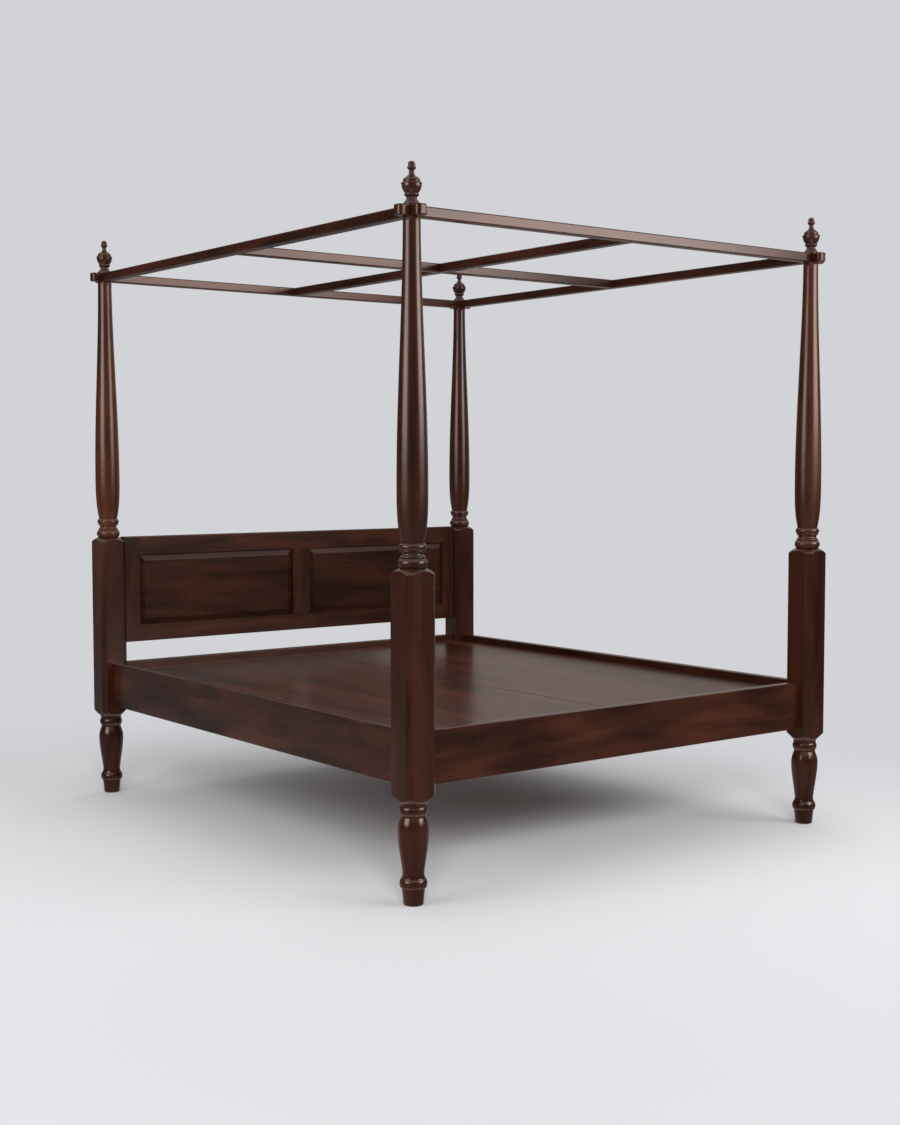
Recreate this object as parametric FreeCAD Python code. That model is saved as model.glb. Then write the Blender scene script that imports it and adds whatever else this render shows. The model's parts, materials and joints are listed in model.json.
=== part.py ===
import FreeCAD, Part
import os
from math import hypot

from FreeCAD import Vector

# Four-poster bed in dark stained hardwood, in millimetres.
# +Z is up, +Y points to the headboard, +X to the right as seen from the foot.
# The origin is on the floor, midway between the four posts.

# Plan: distances between post axes
POST_SPACING_X = 1860.0
POST_SPACING_Y = 2170.0

# Square block of each post, with chamfered corners and turned stops
BLOCK_SIDE = 114.0
BLOCK_CHAMFER = 17.0
BLOCK_HEIGHT = 736.0
STOP_TAPER_HEIGHT = 29.0
SHOULDER_HEIGHT = 25.0
SHOULDER_ROUND = 0.6
ENVELOPE_MARGIN = 1.0

# Turned foot under the block, from the floor up
SOLE_RADIUS = 31.5
SOLE_EDGE = 3.0
PLUG_RADIUS = 37.0
PLUG_HEIGHT = 56.0
FOOT_BEAD_EDGE_RADIUS = 41.0
FOOT_BEAD_RADIUS = 44.0
FOOT_BEAD_TOP_RADIUS = 37.5
FOOT_BEAD_HEIGHT = 30.0
ANKLE_RADIUS = 34.5
ANKLE_HEIGHT = 16.0
ANKLE_HOLLOW = 0.6
VASE_RADIUS = 49.8
VASE_RISE = 136.0
VASE_LEAN = 0.3
VASE_SHOULDER_HEIGHT = 43.0
VASE_SHOULDER_ROUND = 0.55
VASE_NECK_RADIUS = 38.7
FOOT_FILLET_RADIUS = 40.5
FOOT_FILLET_HEIGHT = 6.0
FOOT_RING_RADIUS = 45.5
FOOT_RING_HEIGHT = 27.0
FOOT_RING_TOP_RADIUS = 42.0
QUIRK_RADIUS = 40.0
QUIRK_HEIGHT = 2.0
BLOCK_NECK_RADIUS = 42.0
BLOCK_NECK_HEIGHT = 9.0

# Turned upper post, from the block's dome up to the tester
POST_SEAT_RADIUS = 41.0
LOWER_BEAD_RADIUS = 47.0
LOWER_BEAD_HEIGHT = 29.0
RING_ROOT_RADIUS = 37.0
RING_RADIUS = 40.0
RING_HEIGHT = 8.0
COVE_RADIUS = 33.8
COVE_HEIGHT = 14.0
COVE_FILLET_RADIUS = 40.5
COVE_FILLET_HEIGHT = 3.0
UPPER_BEAD_ROOT_RADIUS = 38.5
UPPER_BEAD_RADIUS = 44.0
UPPER_BEAD_HEIGHT = 22.0
SPINDLE_FOOT_RADIUS = 36.5
SPINDLE_BELLY_RADIUS = 49.5
SPINDLE_BELLY_RISE = 176.0
SPINDLE_BELLY_ROUND = 1.0
SPINDLE_TAPER_HEIGHT = 824.5
SPINDLE_TOP_RADIUS = 27.5
SPINDLE_TOP_LEAN = 0.05

# Turned finial, from the tester up
FINIAL_BASE_RADIUS = 27.0
FINIAL_BASE_HEIGHT = 5.0
FINIAL_NECK_RADIUS = 16.0
FINIAL_FLARE_HEIGHT = 18.5
FINIAL_FLARE_LEAN = 0.25
FINIAL_RING_ROOT_RADIUS = 18.5
FINIAL_NECK_HEIGHT = 4.0
FINIAL_RING_RADIUS = 23.0
FINIAL_RING_HEIGHT = 10.0
FINIAL_CUP_ROOT_RADIUS = 20.5
FINIAL_CUP_RADIUS = 31.3
FINIAL_CUP_HEIGHT = 27.5
FINIAL_CUP_ROUND = 0.75
FINIAL_BAND_RADIUS = 32.7
FINIAL_BAND_HEIGHT = 4.5
FINIAL_SHOULDER_ROOT_RADIUS = 25.5
FINIAL_SHOULDER_RADIUS = 26.7
FINIAL_SHOULDER_HEIGHT = 11.0
FINIAL_STEM_ROOT_RADIUS = 9.3
FINIAL_CAP_HEIGHT = 16.0
FINIAL_CAP_LEAN = 0.4
FINIAL_STEM_RADIUS = 7.9
FINIAL_STEM_HEIGHT = 12.0
FINIAL_DISC_RADIUS = 13.8
FINIAL_DISC_HEIGHT = 12.0
FINIAL_BUTTON_ROOT_RADIUS = 10.3
FINIAL_BUTTON_BULGE = 13.4
FINIAL_BUTTON_HEIGHT = 14.5

# Steel that joins the posts: a stud inside each post, a pin under each finial
STUD_RADIUS = 8.0
STUD_DEPTH = 70.0
STUD_CLEARANCE = 0.15
PIN_RADIUS = 5.0
PIN_DEPTH_IN_FINIAL = 34.0
PIN_DEPTH_IN_POST = 50.0
PIN_GRIP_CLEARANCE = 0.1
PIN_SLIDE_CLEARANCE = 0.4
BORE_END_GAP = 0.5

# Tester
TESTER_WIDTH = 40.0
TESTER_DEPTH = 34.0
TESTER_OVERHANG = 60.0
TESTER_END_ROUND = 14.0
TESTER_EASE = 4.0
LAP_CLEARANCE = 0.2
STUB_TENON_THICKNESS = 14.0
STUB_TENON_DEPTH = 16.0
STUB_TENON_LENGTH = 15.0

# Bed rails
RAIL_THICKNESS = 35.0
RAIL_HEIGHT = 177.0
RAIL_RISE = 47.0
RAIL_PROUD = 12.5
RAIL_EASE = 3.0
RAIL_TENON_THICKNESS = 16.0
RAIL_TENON_LENGTH = 30.0
RAIL_TENON_INSET = 20.0
TENON_CLEARANCE = 0.2
TENON_END_GAP = 0.5

# Hook plates that hang the side rails on the posts
PLATE_WIDTH = 20.0
PLATE_INSET = 23.5
PLATE_THICKNESS = 3.0
HOOK_THICKNESS = 4.0
HOOK_INSET = 17.5
HOOK_HEIGHT = 14.0
HOOK_LIP = 4.0
HOOK_DROP = 8.0
HOOK_CLEARANCE = 0.3
HOOK_POCKET_GAP = 1.5
PLATE_SCREW_INSET = 9.0

# Countersunk screws: plates and deck supports
SCREW_HEAD_RADIUS = 4.2
SCREW_HEAD_HEIGHT = 2.4
SCREW_SHANK_RADIUS = 2.1
SCREW_POINT_HEIGHT = 4.0
PLATE_SCREW_LENGTH = 32.0
LEDGER_SCREW_BITE = 20.0
SCREW_CLEARANCE = 0.12

# Deck and what carries it
DECK_THICKNESS = 18.0
DECK_DROP = 27.0
DECK_SEAM = 4.0
DECK_CLEARANCE = 3.0
DECK_NOTCH_CLEARANCE = 4.0
LEDGER_SIDE = 30.0
LEDGER_END_GAP = 8.0
BEARER_WIDTH = 45.0
BEARER_HEIGHT = 70.0
BEARER_CLEARANCE = 1.0
BEARER_END_INSET = 36.0
BEARER_COUNT = 6

# Headboard frame and its raised and fielded panels
HEADBOARD_GAP = 84.0
HEADBOARD_HEIGHT = 445.0
HEADBOARD_THICKNESS = 36.0
HEADBOARD_FORWARD = 30.0
HEADBOARD_EASE = 3.0
TOP_RAIL_HEIGHT = 77.0
BOTTOM_RAIL_HEIGHT = 70.0
STILE_WIDTH = 70.0
MUNTIN_WIDTH = 88.0
GROOVE_DEPTH = 10.0
GROOVE_CLEARANCE = 0.2
PANEL_FLOAT = 2.0
PANEL_SET_BACK = 3.0
PANEL_BEVEL_WIDTH = 26.0
PANEL_BEVEL_DROP = 10.0
PANEL_TONGUE = 8.0
PANEL_REVEAL = 1.0
FRAME_TENON_THICKNESS = 12.0
FRAME_TENON_LENGTH = 32.0
FRAME_TENON_INSET = 12.0
POST_TONGUE_THICKNESS = 12.0
POST_TONGUE_LENGTH = 16.0
POST_TONGUE_INSET = 60.0

# Levels and places that follow from the sizes above
POST_X = POST_SPACING_X / 2
POST_Y = POST_SPACING_Y / 2
BLOCK_HALF = BLOCK_SIDE / 2
BLOCK_BOTTOM = (
    PLUG_HEIGHT + FOOT_BEAD_HEIGHT + ANKLE_HEIGHT + VASE_RISE + VASE_SHOULDER_HEIGHT
    + FOOT_FILLET_HEIGHT + FOOT_RING_HEIGHT + QUIRK_HEIGHT + BLOCK_NECK_HEIGHT
)
BLOCK_TOP = BLOCK_BOTTOM + BLOCK_HEIGHT
UPPER_POST_HEIGHT = (
    LOWER_BEAD_HEIGHT + RING_HEIGHT + COVE_HEIGHT + COVE_FILLET_HEIGHT + UPPER_BEAD_HEIGHT
    + SPINDLE_BELLY_RISE + SPINDLE_TAPER_HEIGHT
)
TESTER_BOTTOM = BLOCK_TOP + UPPER_POST_HEIGHT
TESTER_MIDDLE = TESTER_BOTTOM + TESTER_DEPTH / 2
TESTER_TOP = TESTER_BOTTOM + TESTER_DEPTH
RAIL_BOTTOM = BLOCK_BOTTOM + RAIL_RISE
RAIL_TOP = RAIL_BOTTOM + RAIL_HEIGHT
RAIL_MIDDLE = RAIL_BOTTOM + RAIL_HEIGHT / 2
RAIL_CENTRE = RAIL_PROUD - RAIL_THICKNESS / 2
PLATE_LENGTH = RAIL_HEIGHT - 2 * PLATE_INSET
PLATE_SCREW_SPACING = PLATE_LENGTH - 2 * PLATE_SCREW_INSET
HOOK_ROOM = HOOK_HEIGHT + 2 * (HOOK_DROP + HOOK_POCKET_GAP)
HOOK_SPACING = PLATE_LENGTH - 2 * HOOK_INSET - HOOK_ROOM
RAIL_INNER_X = POST_X + RAIL_PROUD - RAIL_THICKNESS
RAIL_INNER_Y = POST_Y + RAIL_PROUD - RAIL_THICKNESS
POST_INNER_X = POST_X - BLOCK_HALF
POST_INNER_Y = POST_Y - BLOCK_HALF
DECK_TOP = RAIL_TOP - DECK_DROP
DECK_BOTTOM = DECK_TOP - DECK_THICKNESS
LEDGER_TOP = DECK_BOTTOM - BEARER_HEIGHT
LEDGER_BOTTOM = LEDGER_TOP - LEDGER_SIDE
LEDGER_HALF = POST_INNER_Y - LEDGER_END_GAP
HEADBOARD_BOTTOM = RAIL_TOP + HEADBOARD_GAP
HEADBOARD_TOP = HEADBOARD_BOTTOM + HEADBOARD_HEIGHT
HEADBOARD_FRONT = POST_Y - HEADBOARD_FORWARD
HEADBOARD_BACK = HEADBOARD_FRONT + HEADBOARD_THICKNESS
HEADBOARD_MIDDLE = (HEADBOARD_FRONT + HEADBOARD_BACK) / 2
OPENING_BOTTOM = HEADBOARD_BOTTOM + BOTTOM_RAIL_HEIGHT
OPENING_TOP = HEADBOARD_TOP - TOP_RAIL_HEIGHT
OPENING_INNER_X = MUNTIN_WIDTH / 2
OPENING_OUTER_X = POST_INNER_X - STILE_WIDTH
TONGUE_FRONT = HEADBOARD_FRONT + PANEL_SET_BACK + PANEL_BEVEL_DROP
TONGUE_BACK = TONGUE_FRONT + PANEL_TONGUE

UP = Vector(0, 0, 1)
NEAR = 1e-6
SIDES = {"left": -1, "right": 1}
ENDS = {"foot": -1, "head": 1}
CORNERS = {f"{e}_{s}": (SIDES[s], ENDS[e]) for e in ENDS for s in SIDES}
parts = {}


def block(xs, ys, zs):
    """Box between two values on each axis, in either order."""
    low = Vector(min(xs), min(ys), min(zs))
    high = Vector(max(xs), max(ys), max(zs))
    size = high - low
    return Part.makeBox(size.x, size.y, size.z, low)


def about(middle, width):
    """The two ends of a width centred on a value."""
    return (middle - width / 2, middle + width / 2)


def bar(xs, ys, zs, along, ease):
    """Box with its four edges along one axis eased."""
    stock = block(xs, ys, zs)
    long_edges = [e for e in stock.Edges if abs(e.tangentAt(e.FirstParameter).dot(along)) > 0.9]
    return stock.makeFillet(ease, long_edges)


def cylinder(radius, position, direction, length):
    return Part.makeCylinder(radius, length, position, direction)


def aimed(shape, direction, position):
    """A copy of a piece made along +Z, turned along a direction and moved to a place."""
    turned = shape.copy()
    turned.Placement = FreeCAD.Placement(position, FreeCAD.Rotation(UP, direction))
    return turned


class Turning:
    """Outline of a turned piece beside the Z axis, drawn from the bottom up and then spun."""

    def __init__(self, radius, height=0.0):
        self.start = height
        self.height = height
        self.radius = 0.0
        self.edges = []
        self.step(radius)

    def point(self, radius, rise=0.0):
        return Vector(radius, 0, self.height + rise)

    def add(self, curve, radius, rise):
        self.edges.append(curve.toShape())
        self.radius = radius
        self.height += rise
        return self

    def run(self, radius, rise):
        """Straight line, vertical or tapering."""
        return self.add(Part.LineSegment(self.point(self.radius), self.point(radius, rise)), radius, rise)

    def step(self, radius):
        """Flat shoulder to another radius."""
        return self.run(radius, 0.0)

    def arc(self, middle, radius, rise):
        """Round bead or cove through a radius at half its height."""
        half = self.point(middle, rise / 2)
        return self.add(Part.Arc(self.point(self.radius), half, self.point(radius, rise)), radius, rise)

    def swell(self, radius, rise, leaving, arriving):
        """Long curve. leaving and arriving say how much of the change its end tangents take."""
        change = radius - self.radius
        poles = [
            self.point(self.radius),
            self.point(self.radius + leaving * change, rise / 3),
            self.point(radius - arriving * change, rise * 2 / 3),
            self.point(radius, rise),
        ]
        curve = Part.BezierCurve()
        curve.setPoles(poles)
        return self.add(curve, radius, rise)

    def dome(self, bulge, rise):
        """Rounded end that closes on the axis."""
        poles = [
            self.point(self.radius),
            self.point(bulge, rise / 2),
            self.point(self.radius, rise),
            self.point(0.0, rise),
        ]
        curve = Part.BezierCurve()
        curve.setPoles(poles)
        return self.add(curve, 0.0, rise)

    def solid(self):
        if self.radius > 0:
            self.step(0.0)
        axis = Part.LineSegment(self.point(0.0), Vector(0, 0, self.start)).toShape()
        face = Part.Face(Part.Wire(self.edges + [axis]))
        return face.revolve(Vector(), UP, 360)


def screw(length, clearance=0.0):
    """Countersunk screw pointing along +Z, its head's flat face at zero, or the hole for one."""
    shank = SCREW_SHANK_RADIUS + clearance
    outline = Turning(SCREW_HEAD_RADIUS + clearance).run(shank, SCREW_HEAD_HEIGHT)
    outline.run(shank, length - SCREW_HEAD_HEIGHT - SCREW_POINT_HEIGHT)
    return outline.run(0.0, SCREW_POINT_HEIGHT + clearance).solid()


def foot_turning():
    """Foot: tapered plug, bead, vase and ring, up to the neck under the block."""
    outline = Turning(SOLE_RADIUS - SOLE_EDGE).run(SOLE_RADIUS, SOLE_EDGE)
    outline.run(PLUG_RADIUS, PLUG_HEIGHT - SOLE_EDGE).step(FOOT_BEAD_EDGE_RADIUS)
    outline.arc(FOOT_BEAD_RADIUS, FOOT_BEAD_TOP_RADIUS, FOOT_BEAD_HEIGHT)
    outline.swell(ANKLE_RADIUS, ANKLE_HEIGHT, ANKLE_HOLLOW, 0.0)
    outline.swell(VASE_RADIUS, VASE_RISE, VASE_LEAN, 0.0)
    outline.swell(VASE_NECK_RADIUS, VASE_SHOULDER_HEIGHT, 0.0, VASE_SHOULDER_ROUND)
    outline.step(FOOT_FILLET_RADIUS).run(FOOT_FILLET_RADIUS, FOOT_FILLET_HEIGHT)
    outline.arc(FOOT_RING_RADIUS, FOOT_RING_TOP_RADIUS, FOOT_RING_HEIGHT)
    outline.step(QUIRK_RADIUS).run(QUIRK_RADIUS, QUIRK_HEIGHT)
    outline.step(BLOCK_NECK_RADIUS).run(BLOCK_NECK_RADIUS, BLOCK_NECK_HEIGHT)
    return outline.solid()


def post_block(top):
    """Chamfered square block whose ends are turned: a straight taper below, a dome above."""
    height = top - BLOCK_BOTTOM
    flat = BLOCK_HALF - BLOCK_CHAMFER
    quarter = [Vector(BLOCK_HALF, -flat, 0), Vector(BLOCK_HALF, flat, 0)]
    corners = [FreeCAD.Rotation(UP, 90 * turn).multVec(v) for turn in range(4) for v in quarter]
    section = Part.Face(Part.makePolygon(corners + corners[:1]))
    section.translate(Vector(0, 0, BLOCK_BOTTOM))
    squared = section.extrude(Vector(0, 0, height))
    corner_radius = hypot(BLOCK_HALF, flat) + ENVELOPE_MARGIN
    outline = Turning(BLOCK_NECK_RADIUS, BLOCK_BOTTOM).run(corner_radius, STOP_TAPER_HEIGHT)
    outline.run(corner_radius, height - STOP_TAPER_HEIGHT - SHOULDER_HEIGHT)
    outline.swell(POST_SEAT_RADIUS, SHOULDER_HEIGHT, 0.0, SHOULDER_ROUND)
    return squared.common(outline.solid())


def block_top(end):
    """Head blocks end level with the headboard, foot blocks a little lower."""
    return HEADBOARD_TOP if end > 0 else BLOCK_TOP


def lower_post(side, end):
    """Foot and block in one, with the mortises that face the rails and the headboard."""
    top = block_top(end)
    post = foot_turning().fuse(post_block(top)).removeSplitter()
    post = post.cut(cylinder(
        STUD_RADIUS + STUD_CLEARANCE,
        Vector(0, 0, top - STUD_DEPTH - BORE_END_GAP),
        UP,
        STUD_DEPTH + 2 * BORE_END_GAP,
    ))
    post.translate(Vector(side * POST_X, end * POST_Y, 0))
    post = post.cut(end_rail_tenon(side, end, TENON_CLEARANCE))
    for cutter in slot_plate_pockets(side, end):
        post = post.cut(cutter)
    if end > 0:
        post = post.cut(headboard_tongue(side, TENON_CLEARANCE))
    return post


def upper_post(side, end):
    """Beads, cove and swelling spindle, bored for the stud below and the finial pin above."""
    bottom = block_top(end)
    outline = Turning(POST_SEAT_RADIUS, bottom)
    outline.arc(LOWER_BEAD_RADIUS, POST_SEAT_RADIUS, LOWER_BEAD_HEIGHT).step(RING_ROOT_RADIUS)
    outline.arc(RING_RADIUS, RING_ROOT_RADIUS, RING_HEIGHT)
    outline.arc(COVE_RADIUS, COVE_FILLET_RADIUS, COVE_HEIGHT)
    outline.run(COVE_FILLET_RADIUS, COVE_FILLET_HEIGHT).step(UPPER_BEAD_ROOT_RADIUS)
    outline.arc(UPPER_BEAD_RADIUS, UPPER_BEAD_ROOT_RADIUS, UPPER_BEAD_HEIGHT).step(SPINDLE_FOOT_RADIUS)
    outline.swell(SPINDLE_BELLY_RADIUS, SPINDLE_BELLY_RISE, SPINDLE_BELLY_ROUND, 0.0)
    outline.swell(SPINDLE_TOP_RADIUS, TESTER_BOTTOM - outline.height, 0.0, SPINDLE_TOP_LEAN)
    post = outline.solid()
    stud_bore = STUD_DEPTH + BORE_END_GAP
    post = post.cut(cylinder(STUD_RADIUS + STUD_CLEARANCE, Vector(0, 0, bottom), UP, stud_bore))
    pin_bore = PIN_DEPTH_IN_POST + BORE_END_GAP
    pin_foot = Vector(0, 0, TESTER_BOTTOM - pin_bore)
    post = post.cut(cylinder(PIN_RADIUS + PIN_SLIDE_CLEARANCE, pin_foot, UP, pin_bore))
    post.translate(Vector(side * POST_X, end * POST_Y, 0))
    return post


def post_stud(side, end):
    foot = Vector(side * POST_X, end * POST_Y, block_top(end) - STUD_DEPTH)
    return cylinder(STUD_RADIUS, foot, UP, 2 * STUD_DEPTH)


def finial(side, end):
    """Turned finial: flared base, ring, banded cup, shoulder, stem, disc and button."""
    outline = Turning(FINIAL_BASE_RADIUS, TESTER_TOP).run(FINIAL_BASE_RADIUS, FINIAL_BASE_HEIGHT)
    outline.swell(FINIAL_NECK_RADIUS, FINIAL_FLARE_HEIGHT, FINIAL_FLARE_LEAN, 0.0)
    outline.run(FINIAL_RING_ROOT_RADIUS, FINIAL_NECK_HEIGHT)
    outline.arc(FINIAL_RING_RADIUS, FINIAL_CUP_ROOT_RADIUS, FINIAL_RING_HEIGHT)
    outline.swell(FINIAL_CUP_RADIUS, FINIAL_CUP_HEIGHT, FINIAL_CUP_ROUND, 0.0)
    outline.arc(FINIAL_BAND_RADIUS, FINIAL_CUP_RADIUS, FINIAL_BAND_HEIGHT)
    outline.step(FINIAL_SHOULDER_ROOT_RADIUS)
    outline.arc(FINIAL_SHOULDER_RADIUS, FINIAL_SHOULDER_ROOT_RADIUS, FINIAL_SHOULDER_HEIGHT)
    outline.swell(FINIAL_STEM_ROOT_RADIUS, FINIAL_CAP_HEIGHT, FINIAL_CAP_LEAN, 0.0)
    outline.arc(FINIAL_STEM_RADIUS, FINIAL_STEM_ROOT_RADIUS, FINIAL_STEM_HEIGHT)
    outline.arc(FINIAL_DISC_RADIUS, FINIAL_BUTTON_ROOT_RADIUS, FINIAL_DISC_HEIGHT)
    outline.dome(FINIAL_BUTTON_BULGE, FINIAL_BUTTON_HEIGHT)
    bore = PIN_DEPTH_IN_FINIAL + BORE_END_GAP
    hole = cylinder(PIN_RADIUS + PIN_GRIP_CLEARANCE, Vector(0, 0, TESTER_TOP), UP, bore)
    turned = outline.solid().cut(hole)
    turned.translate(Vector(side * POST_X, end * POST_Y, 0))
    return turned


def finial_pin(side, end):
    bottom = TESTER_BOTTOM - PIN_DEPTH_IN_POST
    length = PIN_DEPTH_IN_POST + TESTER_DEPTH + PIN_DEPTH_IN_FINIAL
    return cylinder(PIN_RADIUS, Vector(side * POST_X, end * POST_Y, bottom), UP, length)


def pin_holes():
    """Holes through the lapped tester corners."""
    holes = []
    for side, end in CORNERS.values():
        foot = Vector(side * POST_X, end * POST_Y, TESTER_BOTTOM)
        holes.append(cylinder(PIN_RADIUS + PIN_SLIDE_CLEARANCE, foot, UP, TESTER_DEPTH))
    return Part.makeCompound(holes)


def tester_stock(length):
    """Outer tester rail along X at the origin, with rounded ends and eased edges."""
    stock = block(about(0, length), about(0, TESTER_WIDTH), (0, TESTER_DEPTH))
    corners = [e for e in stock.Edges if abs(e.tangentAt(e.FirstParameter).dot(UP)) > 0.9]
    stock = stock.makeFillet(TESTER_END_ROUND, corners)
    rims = [e for e in stock.Edges if abs(e.BoundBox.ZLength) < NEAR]
    return stock.makeFillet(TESTER_EASE, rims)


def lap(x, y, zs):
    """The half of a crossing that one of two lapped rails gives up."""
    room = TESTER_WIDTH + 2 * LAP_CLEARANCE
    return block(about(x, room), about(y, room), zs)


def tester_side_rail(side):
    """Lengthwise outer rail, lapped over at both ends, with a mortise for the cross rail."""
    rail = tester_stock(POST_SPACING_Y + 2 * TESTER_OVERHANG)
    rail.rotate(Vector(), UP, 90)
    rail.translate(Vector(side * POST_X, 0, TESTER_BOTTOM))
    for end in ENDS.values():
        rail = rail.cut(lap(side * POST_X, end * POST_Y, (TESTER_MIDDLE, TESTER_TOP)))
    return rail.cut(pin_holes()).cut(cross_rail_stock(TENON_CLEARANCE))


def tester_end_rail(end):
    """Outer rail over the head or the foot, lapped onto the side rails, with a mortise."""
    rail = tester_stock(POST_SPACING_X + 2 * TESTER_OVERHANG)
    rail.translate(Vector(0, end * POST_Y, TESTER_BOTTOM))
    for side in SIDES.values():
        rail = rail.cut(lap(side * POST_X, end * POST_Y, (TESTER_BOTTOM, TESTER_MIDDLE)))
    return rail.cut(pin_holes()).cut(centre_rail_stock(TENON_CLEARANCE))


def inner_rail_stock(spacing, along, across, clearance):
    """Inner tester rail with a stub tenon at each end, before it is lapped at the middle.

    With a clearance it is only the two tenons, enlarged to cut their mortises."""
    shoulder = spacing / 2 - TESTER_WIDTH / 2
    reach = shoulder + STUB_TENON_LENGTH + (TENON_END_GAP if clearance else 0.0)
    thickness = STUB_TENON_THICKNESS + 2 * clearance
    depth = STUB_TENON_DEPTH + 2 * clearance
    spans = {along: (-reach, reach), across: about(0, thickness), "z": about(TESTER_MIDDLE, depth)}
    tenons = block(spans["x"], spans["y"], spans["z"])
    if clearance:
        return tenons
    spans = {
        along: (-shoulder, shoulder),
        across: about(0, TESTER_WIDTH),
        "z": (TESTER_BOTTOM, TESTER_TOP),
    }
    direction = Vector(1, 0, 0) if along == "x" else Vector(0, 1, 0)
    rail = bar(spans["x"], spans["y"], spans["z"], direction, TESTER_EASE)
    return rail.fuse(tenons).removeSplitter()


def cross_rail_stock(clearance=0.0):
    return inner_rail_stock(POST_SPACING_X, "x", "y", clearance)


def centre_rail_stock(clearance=0.0):
    return inner_rail_stock(POST_SPACING_Y, "y", "x", clearance)


def end_rail_tenon(side, end, clearance=0.0):
    """Tenon of the head or foot rail, or with a clearance its mortise in the post."""
    shoulder = side * POST_INNER_X
    reach = RAIL_TENON_LENGTH + (TENON_END_GAP if clearance else 0.0)
    return block(
        (shoulder, shoulder + side * reach),
        about(end * (POST_Y + RAIL_CENTRE), RAIL_TENON_THICKNESS + 2 * clearance),
        (RAIL_BOTTOM + RAIL_TENON_INSET - clearance, RAIL_TOP - RAIL_TENON_INSET + clearance),
    )


def end_rail(end):
    """Head or foot rail, tenoned into the posts."""
    rail = bar(
        (-POST_INNER_X, POST_INNER_X),
        about(end * (POST_Y + RAIL_CENTRE), RAIL_THICKNESS),
        (RAIL_BOTTOM, RAIL_TOP),
        Vector(1, 0, 0),
        RAIL_EASE,
    )
    for side in SIDES.values():
        rail = rail.fuse(end_rail_tenon(side, end))
    return rail.removeSplitter()


def side_rail(side):
    """Side rail that hangs on hook plates let into its ends, with pilot holes for its ledger."""
    rail = bar(
        about(side * (POST_X + RAIL_CENTRE), RAIL_THICKNESS),
        (-POST_INNER_Y, POST_INNER_Y),
        (RAIL_BOTTOM, RAIL_TOP),
        Vector(0, 1, 0),
        RAIL_EASE,
    )
    for end in ENDS.values():
        rail = rail.cut(plate_blank(side, end, -1, PLATE_THICKNESS))
        rail = rail.cut(Part.makeCompound(plate_screws(side, end, -1, SCREW_CLEARANCE)))
    return rail.cut(Part.makeCompound(ledger_screws(side, SCREW_CLEARANCE)))


def hook_heights():
    """Undersides of the two hooks, which rest on the slots' lower edges."""
    return about(RAIL_MIDDLE - HOOK_HEIGHT / 2, HOOK_SPACING)


def plate_blank(side, end, inward, depth):
    """Plate-sized block against the post's inner face: inward 1 goes into the post, -1 into the rail."""
    face = end * POST_INNER_Y
    return block(
        about(side * (POST_X + RAIL_CENTRE), PLATE_WIDTH),
        (face, face + inward * end * depth),
        about(RAIL_MIDDLE, PLATE_LENGTH),
    )


def plate_screws(side, end, inward, clearance=0.0):
    """The two screws of one plate, or the holes for them."""
    made = []
    for height in about(RAIL_MIDDLE, PLATE_SCREW_SPACING):
        place = Vector(side * (POST_X + RAIL_CENTRE), end * POST_INNER_Y, height)
        made.append(aimed(screw(PLATE_SCREW_LENGTH, clearance), Vector(0, inward * end, 0), place))
    return made


def rail_hook_plate(side, end):
    """Steel plate in the rail's end with two hooks that reach through the post's plate."""
    plate = plate_blank(side, end, -1, PLATE_THICKNESS)
    face = end * POST_INNER_Y
    behind = face + end * (PLATE_THICKNESS + HOOK_CLEARANCE)
    tip = behind + end * HOOK_LIP
    left, right = about(side * (POST_X + RAIL_CENTRE), HOOK_THICKNESS)
    for seat in hook_heights():
        top = seat + HOOK_HEIGHT
        low = seat - HOOK_DROP
        outline = [(face, seat), (behind, seat), (behind, low), (tip, low + HOOK_LIP), (tip, seat)]
        outline += [(behind, top), (face, top)]
        corners = [Vector(left, y, z) for y, z in outline]
        hook = Part.Face(Part.makePolygon(corners + corners[:1])).extrude(Vector(right - left, 0, 0))
        plate = plate.fuse(hook)
    plate = plate.removeSplitter()
    return plate.cut(Part.makeCompound(plate_screws(side, end, -1, SCREW_CLEARANCE)))


def hook_slots(side, end, depth):
    """Room for the hooks to enter the post and drop."""
    face = end * POST_INNER_Y
    width = HOOK_THICKNESS + 2 * HOOK_CLEARANCE
    across = about(side * (POST_X + RAIL_CENTRE), width)
    rise = HOOK_HEIGHT + HOOK_DROP + HOOK_CLEARANCE
    slots = [block(across, (face, face + end * depth), (seat, seat + rise)) for seat in hook_heights()]
    return Part.makeCompound(slots)


def post_slot_plate(side, end):
    """Steel plate in the post with a slot for each hook, which hangs on the slot's lower edge."""
    plate = plate_blank(side, end, 1, PLATE_THICKNESS).cut(hook_slots(side, end, PLATE_THICKNESS))
    return plate.cut(Part.makeCompound(plate_screws(side, end, 1, SCREW_CLEARANCE)))


def slot_plate_pockets(side, end):
    """What is cut from a post for its slotted plate, the hooks behind it and the plate's screws."""
    face = end * POST_INNER_Y
    reach = PLATE_THICKNESS + HOOK_CLEARANCE + HOOK_LIP + HOOK_POCKET_GAP
    width = HOOK_THICKNESS + 2 * HOOK_POCKET_GAP
    across = about(side * (POST_X + RAIL_CENTRE), width)
    low, high = hook_heights()
    room = (low - HOOK_DROP - HOOK_POCKET_GAP, high + HOOK_HEIGHT + HOOK_DROP + HOOK_POCKET_GAP)
    pocket = block(across, (face, face + end * reach), room)
    recess = plate_blank(side, end, 1, PLATE_THICKNESS)
    return [recess, pocket] + plate_screws(side, end, 1, SCREW_CLEARANCE)


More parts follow.
